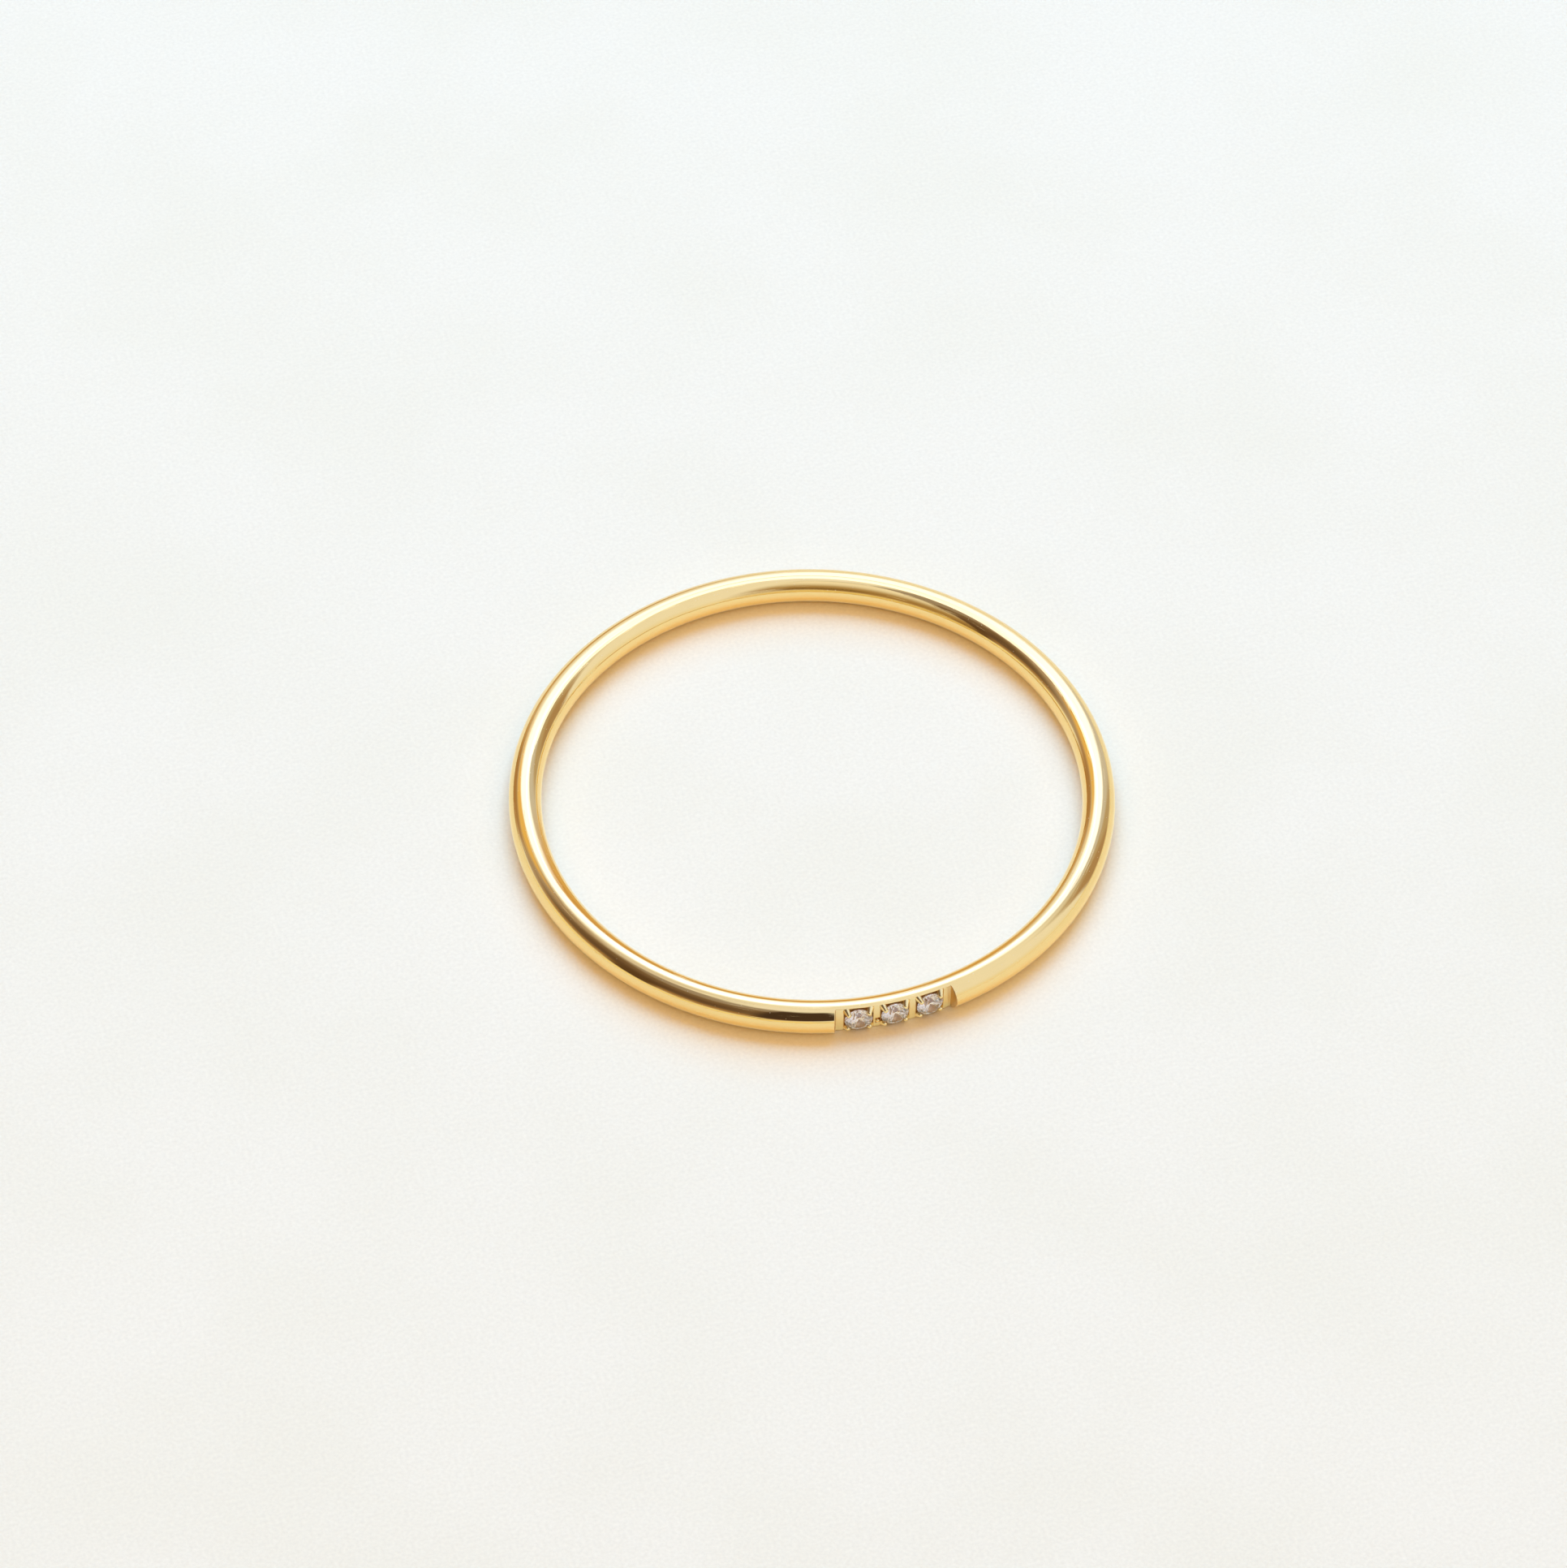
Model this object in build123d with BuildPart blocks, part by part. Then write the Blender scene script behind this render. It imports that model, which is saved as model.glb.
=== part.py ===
"""Stackable ring: a slim loop of round wire with three small round brilliants in a milled setting.

Millimetres. The ring's axis is +Z and it lies flat on z = 0, centred on the Z axis. The setting faces -Y.
Azimuths along the band are counted in degrees from -Y, positive towards +X.
"""

from build123d import *
import os
from math import cos, degrees, radians, sin, sqrt, tan

# ---------------------------------------------------------------- driving dimensions
FINGER_DIAMETER = 17.3  # clear opening of the band
WIRE_DIAMETER = 1.05  # round wire that the band is made of

RECESS_DEPTH = 0.34  # the setting's face below the wire's outermost line
STONE_PITCH = 1.16  # stone to stone, along the face
BAR_WIDTH = 0.25  # flat metal left standing between two stones
END_BAR_WIDTH = 0.25  # flat metal between an outer stone and the recess's end wall
END_WALL_DRAFT = 8.0  # degrees that each end wall of the recess leans outwards
POCKET_DEPTH = 0.08  # floor round each stone, below the face
RIM_WIDTH = 0.03  # metal left above and below each pocket, at the face

STONE_DIAMETER = 0.90
STONE_CLEARANCE = 0.012  # all round each stone
GIRDLE_RISE = 0.03  # middle of a stone's girdle in front of the face
PRONG_CIRCLE_DIAMETER = 1.00  # through the middles of a stone's prongs, at the face
PRONG_ROOT_DIAMETER = 0.27  # at a prong's buried end
PRONG_TIP_DIAMETER = 0.16
PRONG_LEAN = 20.0  # degrees, towards the stone's axis
PRONG_ROOT = 0.09  # from the face down into the metal
UPPER_PRONG_LENGTH = 0.19  # from the face to the tip
LOWER_PRONG_LENGTH = 0.135

# The bar between the left and middle stones has a short slot near its foot, with one spare grain in it.
GRAIN_DIAMETER = 0.15
GRAIN_SLOT_WIDTH = 0.14
GRAIN_SLOT_HEIGHT = 0.24
GRAIN_SIDE_SHIFT = 0.03  # slot's middle beside the bar's middle, towards the middle stone
GRAIN_SLOT_DROP = 0.21  # slot's middle below the wire's middle
GRAIN_DROP = 0.24  # grain's middle below the wire's middle

# A round brilliant's proportions, as shares of its girdle diameter.
TABLE_SHARE = 0.57
CROWN_SHARE = 0.15
GIRDLE_SHARE = 0.03
PAVILION_SHARE = 0.43
STAR_SHARE = 0.50  # how far the stars reach from the table's corner to the girdle
LOWER_HALF_SHARE = 0.78  # how far the lower halves reach from the girdle to the culet
MAIN_FACETS = 8

# ---------------------------------------------------------------- sizes that follow
wire_radius = WIRE_DIAMETER / 2
ring_radius = FINGER_DIAMETER / 2 + wire_radius  # to the middle of the wire
outer_radius = ring_radius + wire_radius
face_radius = outer_radius - RECESS_DEPTH
face_half_height = sqrt(wire_radius**2 - (wire_radius - RECESS_DEPTH) ** 2)
cell_width = STONE_PITCH - BAR_WIDTH
cell_height = 2 * (face_half_height - RIM_WIDTH)
setting_length = 3 * cell_width + 2 * BAR_WIDTH + 2 * END_BAR_WIDTH
setting_angle = degrees(setting_length / face_radius)
pitch_angle = degrees(STONE_PITCH / face_radius)

girdle_radius = STONE_DIAMETER / 2
table_radius = girdle_radius * TABLE_SHARE
crown_height = STONE_DIAMETER * CROWN_SHARE
girdle_half = STONE_DIAMETER * GIRDLE_SHARE / 2
pavilion_depth = STONE_DIAMETER * PAVILION_SHARE
table_height = girdle_half + crown_height
culet_height = -girdle_half - pavilion_depth
girdle_plane_radius = face_radius + GIRDLE_RISE

# The stars' tips lie on the planes of the crown's kites, and the lower halves' tips on the planes of the
# pavilion's mains, so each kite and each main comes out flat.
half_step = 180 / MAIN_FACETS
star_radius = table_radius + (girdle_radius - table_radius) * STAR_SHARE
crown_slope = crown_height / (girdle_radius - table_radius)
star_height = table_height - (star_radius * cos(radians(half_step)) - table_radius) * crown_slope
lower_radius = girdle_radius * (1 - LOWER_HALF_SHARE)
lower_height = culet_height + pavilion_depth * lower_radius * cos(radians(half_step)) / girdle_radius

# Direction of the first of each pair of prongs round the stone, in degrees, and their length.
prong_pairs = [(45, UPPER_PRONG_LENGTH), (225, LOWER_PRONG_LENGTH)]


def outward(azimuth):
    """Horizontal unit vector from the ring's axis towards an azimuth on the band."""
    return Vector(sin(radians(azimuth)), -cos(radians(azimuth)), 0)


def along_band(azimuth):
    """Horizontal unit vector along the band at an azimuth, towards larger azimuths."""
    return Vector(cos(radians(azimuth)), sin(radians(azimuth)), 0)


def facing_plane(azimuth, radius):
    """Plane that faces straight out of the ring: x along the band, y up, z outwards."""
    return Plane(
        origin=outward(azimuth) * radius + Vector(0, 0, wire_radius),
        x_dir=along_band(azimuth),
        z_dir=outward(azimuth),
    )


def half_section_plane(azimuth, radius):
    """Horizontal plane through a stone's axis: x along the band, y outwards."""
    return Plane(
        origin=outward(azimuth) * radius + Vector(0, 0, wire_radius),
        x_dir=along_band(azimuth),
        z_dir=(0, 0, -1),
    )


def stone_axis(azimuth, radius):
    """The line a stone is turned about, pointing out of the ring."""
    return Axis(facing_plane(azimuth, radius).origin, outward(azimuth))


def ring_of_points(radius, height, count, first=0.0):
    """Points evenly round a stone's axis, the first one at the angle `first` in degrees."""
    step = 360 / count
    angles = [radians(first + k * step) for k in range(count)]
    return [(radius * cos(a), radius * sin(a), height) for a in angles]


def brilliant_points():
    """Corners of a round brilliant about its girdle plane, table towards +z."""
    return [
        *ring_of_points(table_radius, table_height, MAIN_FACETS),
        *ring_of_points(star_radius, star_height, MAIN_FACETS, half_step),
        *ring_of_points(girdle_radius, girdle_half, 2 * MAIN_FACETS),
        *ring_of_points(girdle_radius, -girdle_half, 2 * MAIN_FACETS),
        *ring_of_points(lower_radius, lower_height, MAIN_FACETS, half_step),
        (0, 0, culet_height),
    ]


def seat_profile():
    """Half section of a stone's seat: (distance from the stone's axis, height over its girdle plane)."""
    gap = STONE_CLEARANCE
    return [
        (0, culet_height - gap),
        (lower_radius + gap, lower_height - gap),
        (girdle_radius + gap, -girdle_half - gap / 2),
        (girdle_radius + gap, girdle_half + gap / 2),
        (star_radius + gap, star_height + gap),
        (table_radius + gap, table_height + gap),
        (0, table_height + gap),
    ]


stone_azimuths = {
    "stone_left": -pitch_angle,
    "stone_middle": 0.0,
    "stone_right": pitch_angle,
}

# ---------------------------------------------------------------- band
with BuildPart() as band:
    # The loop of round wire.
    with BuildSketch(Plane.XZ):
        with Locations(Location((ring_radius, wire_radius, 0), (0, 0, 180))):
            Circle(wire_radius)
    revolve(axis=Axis.Z)

    # The recess: a stretch of the wire's outside milled down to an upright face that follows the loop.
    start = -setting_angle / 2
    start_section = Plane(origin=(0, 0, wire_radius), x_dir=outward(start), z_dir=-along_band(start))
    with BuildSketch(start_section):
        with Locations((face_radius, 0)):
            Rectangle(WIRE_DIAMETER, 2 * WIRE_DIAMETER, align=(Align.MIN, Align.CENTER))
    revolve(axis=Axis.Z, revolution_arc=setting_angle, mode=Mode.SUBTRACT)

    # The recess's end walls lean outwards a little, away from the stones.
    for side in (-1, 1):
        end = side * setting_angle / 2
        foot = outward(end) * face_radius
        head = outward(end) * (face_radius + WIRE_DIAMETER)
        leaned_head = head + along_band(end) * side * WIRE_DIAMETER * tan(radians(END_WALL_DRAFT))
        with BuildSketch(Plane.XY):
            with BuildLine():
                Polyline(foot, head, leaned_head, close=True)
            make_face()
        extrude(amount=WIRE_DIAMETER, mode=Mode.SUBTRACT)

    # A sunk floor round each stone, with bars left between the stones.
    for azimuth in stone_azimuths.values():
        with BuildSketch(facing_plane(azimuth, face_radius - POCKET_DEPTH)):
            Rectangle(cell_width, cell_height)
        extrude(amount=2 * POCKET_DEPTH, mode=Mode.SUBTRACT)

    # The slot and its spare grain.
    grain_azimuth = -pitch_angle / 2 + degrees(GRAIN_SIDE_SHIFT / face_radius)
    with BuildSketch(facing_plane(grain_azimuth, face_radius - POCKET_DEPTH)):
        with Locations((0, -GRAIN_SLOT_DROP)):
            Rectangle(GRAIN_SLOT_WIDTH, GRAIN_SLOT_HEIGHT)
    extrude(amount=2 * POCKET_DEPTH, mode=Mode.SUBTRACT)
    with Locations(facing_plane(grain_azimuth, face_radius - GRAIN_DIAMETER / 4)):
        with Locations((0, -GRAIN_DROP, 0)):
            Sphere(GRAIN_DIAMETER / 2)

    # Four prongs a stone: tapered and round-tipped, in the corners of its floor, leaning over its girdle.
    root_out = PRONG_ROOT * sin(radians(PRONG_LEAN))
    root_down = PRONG_ROOT * cos(radians(PRONG_LEAN))
    prong_foot = Location((root_out, 0, -root_down), (0, -PRONG_LEAN, 0))
    for azimuth in stone_azimuths.values():
        for direction, length in prong_pairs:
            shaft = PRONG_ROOT + length - PRONG_TIP_DIAMETER / 2
            with Locations(facing_plane(azimuth, face_radius)):
                with PolarLocations(PRONG_CIRCLE_DIAMETER / 2, 2, start_angle=direction, angular_range=180):
                    with Locations(prong_foot):
                        Cone(
                            PRONG_ROOT_DIAMETER / 2,
                            PRONG_TIP_DIAMETER / 2,
                            shaft,
                            align=(Align.CENTER, Align.CENTER, Align.MIN),
                        )
                        with Locations((0, 0, shaft)):
                            Sphere(PRONG_TIP_DIAMETER / 2)

    # The seat: a turned space with the stone's own profile, which also undercuts the prongs.
    for azimuth in stone_azimuths.values():
        with BuildSketch(half_section_plane(azimuth, girdle_plane_radius)):
            with BuildLine():
                Polyline(*seat_profile(), close=True)
            make_face()
        revolve(axis=stone_axis(azimuth, girdle_plane_radius), mode=Mode.SUBTRACT)

band.part.label = "band"

# ---------------------------------------------------------------- stones
stones = []
for name, azimuth in stone_azimuths.items():
    with BuildPart(facing_plane(azimuth, girdle_plane_radius)) as stone:
        ConvexPolyhedron(brilliant_points())
    stone.part.label = name
    stones.append(stone)

# ---------------------------------------------------------------- files
os.makedirs("parts", exist_ok=True)
export_step(band.part, "parts/band.step")
for stone in stones:
    export_step(stone.part, f"parts/{stone.part.label}.step")
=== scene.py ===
"""Looks of a slim stackable ring: polished round wire with three brilliants in a milled recess.

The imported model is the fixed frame. The ring's axis is +Z, it lies flat on z = 0 and its setting faces -Y.
Azimuths run along the band in degrees from -Y, positive towards +X. Lengths are millimetres until a mesh is
made, and metres after that.
"""

import logging
from dataclasses import dataclass, field
from enum import Enum
from math import cos, radians, sin, sqrt, tan

import bpy
import numpy as np
from mathutils import Matrix, Vector

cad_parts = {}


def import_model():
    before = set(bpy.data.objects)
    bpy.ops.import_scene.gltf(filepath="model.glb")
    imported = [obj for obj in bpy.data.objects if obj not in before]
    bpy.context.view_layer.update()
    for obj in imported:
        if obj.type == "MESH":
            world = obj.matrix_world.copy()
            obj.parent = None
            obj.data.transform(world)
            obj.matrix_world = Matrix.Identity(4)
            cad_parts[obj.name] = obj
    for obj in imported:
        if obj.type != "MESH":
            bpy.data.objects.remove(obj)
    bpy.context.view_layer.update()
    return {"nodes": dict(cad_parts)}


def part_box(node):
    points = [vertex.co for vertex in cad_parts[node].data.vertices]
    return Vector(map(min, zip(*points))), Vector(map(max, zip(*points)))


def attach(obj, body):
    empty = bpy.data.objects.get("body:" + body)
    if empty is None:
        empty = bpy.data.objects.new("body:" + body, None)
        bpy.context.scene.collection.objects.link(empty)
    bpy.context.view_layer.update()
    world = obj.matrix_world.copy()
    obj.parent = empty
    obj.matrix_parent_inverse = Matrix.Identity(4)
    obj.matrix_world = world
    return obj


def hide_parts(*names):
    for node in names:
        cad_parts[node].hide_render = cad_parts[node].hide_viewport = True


log = logging.getLogger("stackable_ring")
MM = 0.001  # metres in a millimetre


class Slot(Enum):
    """Names of the material slots."""

    GOLD = "gold"
    STONE = "stone"


class Part(Enum):
    """Places of the two gold finishes in a gold piece's material list."""

    POLISHED = 0
    MILLED = 1


# ---------------------------------------------------------------- shapes


def smooth_step(value: np.ndarray, low: float, high: float) -> np.ndarray:
    """Rises from 0 at low to 1 at high as 3t^2 - 2t^3, level at both ends.

    Args:
        value: where to read the step.
        low: where it starts.
        high: where it ends; below low for a falling step.

    Returns:
        The step at each value.
    """
    share = np.clip((value - low) / (high - low), 0.0, 1.0)
    return share * share * (3.0 - 2.0 * share)


def smooth_min(first: np.ndarray, second: np.ndarray, reach: float) -> np.ndarray:
    """The lesser of two heights, rounded where they lie within reach of each other.

    It is the straight mix of the two, less reach * t * (1 - t), with t the share of the first.

    Args:
        first: one height.
        second: the other height.
        reach: difference of the heights at which the rounding ends.

    Returns:
        The rounded lesser height.
    """
    share = np.clip(0.5 + 0.5 * (second - first) / reach, 0.0, 1.0)
    return second + (first - second) * share - reach * share * (1.0 - share)


@dataclass
class Sheet:
    """A grid of points, rows by columns, that wraps round in its columns.

    Attributes:
        points: array of rows x columns x 3, in millimetres.
        wraps_rows: whether the last row joins the first. Otherwise both ends close in a pole.
        finish: material place of each face, rows x columns, or one place for all.
        depth: share of painted shade at each point, 0 to 1, or one value for all: shade painted into the
            pockets, along their edges and on the end walls.
    """

    points: np.ndarray
    wraps_rows: bool = False
    finish: np.ndarray | int = Part.POLISHED.value
    depth: np.ndarray | float = 0.0

    def arrays(self) -> tuple[np.ndarray, np.ndarray, np.ndarray, np.ndarray]:
        """Works out the sheet's corners and faces.

        Face (r, c) joins points (r, c), (r, c+1), (r+1, c+1) and (r+1, c), counted round. At a pole a fan of
        triangles, each with a repeated corner, joins the end row to one point at its middle.

        Returns:
            Points, faces (corner -1 marks a triangle), material places and shares of painted shade.
        """
        rows, columns = self.points.shape[:2]
        index = np.arange(rows * columns).reshape(rows, columns)
        ahead = np.roll(index, -1, axis=1)
        if self.wraps_rows:
            below, below_ahead = np.roll(index, -1, axis=0), np.roll(ahead, -1, axis=0)
            faces = np.stack([index, ahead, below_ahead, below], axis=-1).reshape(-1, 4)
        else:
            faces = np.stack([index[:-1], ahead[:-1], ahead[1:], index[1:]], axis=-1).reshape(-1, 4)
        points = self.points.reshape(-1, 3)
        finish = np.broadcast_to(self.finish, (rows, columns))
        finish = (finish if self.wraps_rows else finish[:-1]).reshape(-1)
        depth = np.broadcast_to(self.depth, (rows, columns)).reshape(-1)
        if not self.wraps_rows:
            poles = np.stack([self.points[0].mean(axis=0), self.points[-1].mean(axis=0)])
            first, last = rows * columns, rows * columns + 1
            none = np.full(columns, -1)
            start = np.stack([ahead[0], index[0], np.full(columns, first), none], axis=-1)
            end = np.stack([index[-1], ahead[-1], np.full(columns, last), none], axis=-1)
            points = np.vstack([points, poles])
            faces = np.vstack([faces, start, end])
            finish = np.concatenate([finish, np.full(2 * columns, finish[0])])
            depth = np.concatenate([depth, depth[[0, -1]]])
        return points, faces, finish, depth


def piece_from(name: str, sheets: list[Sheet], materials: list[bpy.types.Material]) -> bpy.types.Object:
    """Makes one smooth-shaded object of several sheets, at the origin, with its place in its mesh.

    Args:
        name: name of the object and its mesh.
        sheets: the closed surfaces it is made of.
        materials: finishes, in the order of Part.

    Returns:
        The new object.
    """
    offset, points, faces, finish, depth = 0, [], [], [], []
    for sheet in sheets:
        corners, quads, places, depths = sheet.arrays()
        points.append(corners)
        faces.append(np.where(quads < 0, -1, quads + offset))
        finish.append(places)
        depth.append(depths)
        offset += len(corners)
    quads = np.concatenate(faces)
    sizes = np.where(quads[:, 3] < 0, 3, 4)
    mesh = bpy.data.meshes.new(name)
    mesh.vertices.add(offset)
    mesh.vertices.foreach_set("co", (np.concatenate(points) * MM).astype(np.float32).ravel())
    mesh.loops.add(int(sizes.sum()))
    mesh.loops.foreach_set("vertex_index", quads[quads >= 0].astype(np.int32))
    mesh.polygons.add(len(quads))
    mesh.polygons.foreach_set("loop_start", (np.cumsum(sizes) - sizes).astype(np.int32))
    for material in materials:
        mesh.materials.append(material)
    mesh.polygons.foreach_set("material_index", np.concatenate(finish).astype(np.int32))
    mesh.polygons.foreach_set("use_smooth", np.ones(len(quads), dtype=bool))
    # Point attribute: share of painted shade, which mixes in the gold's darker shade colour.
    pocket = mesh.attributes.new("pocket_shade", "FLOAT", "POINT")
    pocket.data.foreach_set("value", np.concatenate(depth).astype(np.float32))
    mesh.update(calc_edges=True)
    mesh.validate()
    piece = bpy.data.objects.new(name, mesh)
    bpy.context.scene.collection.objects.link(piece)
    return piece


# ---------------------------------------------------------------- the ring's sizes


@dataclass(frozen=True)
class Brilliant:
    """A round brilliant's proportions, and the seat turned for it.

    Attributes:
        diameter: across the girdle.
        clearance: between stone and seat.
        table_share: table's width, as a share of the diameter.
        crown_share: crown's height, as a share of the diameter.
        girdle_share: girdle's thickness, as a share of the diameter.
        pavilion_share: pavilion's depth, as a share of the diameter.
        star_share: how far the stars reach from the table's corner to the girdle.
        lower_half_share: how far the lower halves reach from the girdle to the culet.
        half_step: half the angle between two main facets, in degrees.
    """

    diameter: float = 0.90
    clearance: float = 0.012
    table_share: float = 0.57
    crown_share: float = 0.15
    girdle_share: float = 0.03
    pavilion_share: float = 0.43
    star_share: float = 0.50
    lower_half_share: float = 0.78
    half_step: float = 22.5

    def seat_corners(self) -> tuple[np.ndarray, np.ndarray]:
        """Corners of the seat's half section, from the culet up to the table.

        Returns:
            Heights over the girdle's plane, rising, and the seat's radius at each.
        """
        radius, gap = self.diameter / 2, self.clearance
        girdle, pavilion = self.diameter * self.girdle_share / 2, self.diameter * self.pavilion_share
        table = radius * self.table_share
        table_height = girdle + self.diameter * self.crown_share
        star = table + (radius - table) * self.star_share
        slope = self.diameter * self.crown_share / (radius - table)
        star_height = table_height - (star * cos(radians(self.half_step)) - table) * slope
        lower = radius * (1 - self.lower_half_share)
        lower_height = -girdle - pavilion * (1 - lower * cos(radians(self.half_step)) / radius)
        heights = [-girdle - pavilion - gap, lower_height - gap, -girdle - gap / 2,
                   girdle + gap / 2, star_height + gap, table_height + gap]
        radii = [0.0, lower + gap, radius + gap, radius + gap, star + gap, table + gap]
        return np.array(heights), np.array(radii)

    def seat_radius(self, height: np.ndarray) -> np.ndarray:
        """The seat's radius at a height over the girdle's plane: straight between its corners, 0 beyond."""
        heights, radii = self.seat_corners()
        return np.interp(height, heights, radii, left=0.0, right=0.0)

    def seat_floor(self, radius: np.ndarray) -> np.ndarray:
        """The seat's floor at a distance from the stone's axis: straight between corners, high up beyond."""
        heights, radii = self.seat_corners()
        return np.where(radius < radii[2], np.interp(radius, radii[:3], heights[:3]), self.diameter)


@dataclass(frozen=True)
class RingSizes:
    """Driving sizes of the ring, the same as the solids' own, and what follows from them.

    Attributes:
        finger: clear opening.
        wire: wire's diameter.
        recess: how deep the recess's face lies below the wire's outermost line.
        pitch: stone to stone, along the face.
        bar: flat metal left between two stones.
        end_bar: flat metal between an outer stone and the end wall.
        draft: lean of the end walls, in degrees.
        pocket: depth of the floor round each stone.
        rim: metal left above and below each pocket.
        girdle_rise: middle of a girdle in front of the face.
    """

    finger: float = 17.3
    wire: float = 1.05
    recess: float = 0.34
    pitch: float = 1.16
    bar: float = 0.25
    end_bar: float = 0.25
    draft: float = 8.0
    pocket: float = 0.08
    rim: float = 0.03
    girdle_rise: float = 0.03

    @property
    def radius(self) -> float:
        """The wire's own radius."""
        return self.wire / 2

    @property
    def loop(self) -> float:
        """From the ring's axis to the middle of the wire."""
        return self.finger / 2 + self.radius

    @property
    def face(self) -> float:
        """From the middle of the wire out to the recess's face."""
        return self.radius - self.recess

    @property
    def face_height(self) -> float:
        """Half the height of the recess's face."""
        return sqrt(self.radius**2 - self.face**2)

    @property
    def cell_width(self) -> float:
        """Width of one stone's pocket."""
        return self.pitch - self.bar

    @property
    def cell_top(self) -> float:
        """Half the height of one stone's pocket."""
        return self.face_height - self.rim

    @property
    def half_setting(self) -> float:
        """Half the recess's length along its face."""
        return 1.5 * self.cell_width + self.bar + self.end_bar

    def place(self, along: np.ndarray, out: np.ndarray, up: np.ndarray) -> np.ndarray:
        """Turns band positions into points.

        The azimuth is the arc along the face over the face's radius. A point is the loop's radius plus the
        distance out, in that direction, and the height over the middle of the wire.

        Args:
            along: arc from the setting's middle, measured at the face's radius.
            out: distance out from the middle of the wire.
            up: height over the middle of the wire.

        Returns:
            Array of points, in the row frame.
        """
        turn = along / (self.loop + self.face)
        reach = self.loop + out
        return np.stack([reach * np.sin(turn), -reach * np.cos(turn), up + self.radius], axis=-1)

    def stone_place(self, centre: float, side: np.ndarray, up: np.ndarray, out: np.ndarray) -> np.ndarray:
        """Turns positions about a stone's axis into points.

        Args:
            centre: the stone's arc along the face.
            side: distance along the band, square to the stone's axis.
            up: height over the stone's axis.
            out: distance out from the recess's face.

        Returns:
            Array of points, in the row frame.
        """
        turn = centre / (self.loop + self.face)
        reach = self.loop + self.face + out
        return np.stack([reach * sin(turn) + side * cos(turn), -reach * cos(turn) + side * sin(turn),
                         up + self.radius], axis=-1)


@dataclass(frozen=True)
class Groove:
    """A short shallow groove milled in the recess's face.

    Attributes:
        centre: arc of its middle along the face.
        width: its width along the band.
        low: its lower end, from the middle of the wire.
        high: its upper end.
        depth: how deep it is.
        edge: width of its rounded walls.
    """

    centre: float
    width: float
    low: float
    high: float
    depth: float
    edge: float = 0.014

    def share(self, along: np.ndarray, up: np.ndarray) -> np.ndarray:
        """How much of its depth it has at a place: one rounded step at each wall, multiplied.

        Args:
            along: arc along the face.
            up: height above the middle of the wire.

        Returns:
            The share, 0 to 1.
        """
        half = self.edge / 2
        left, right = self.stops()
        across = smooth_step(along, left - half, left + half) * smooth_step(along, right + half, right - half)
        low, high = self.low, self.high
        tall = smooth_step(up, low - half, low + half) * smooth_step(up, high + half, high - half)
        return across * tall

    def stops(self) -> list[float]:
        """Arcs of its two walls."""
        return [self.centre - self.width / 2, self.centre + self.width / 2]


# ---------------------------------------------------------------- the band


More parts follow.
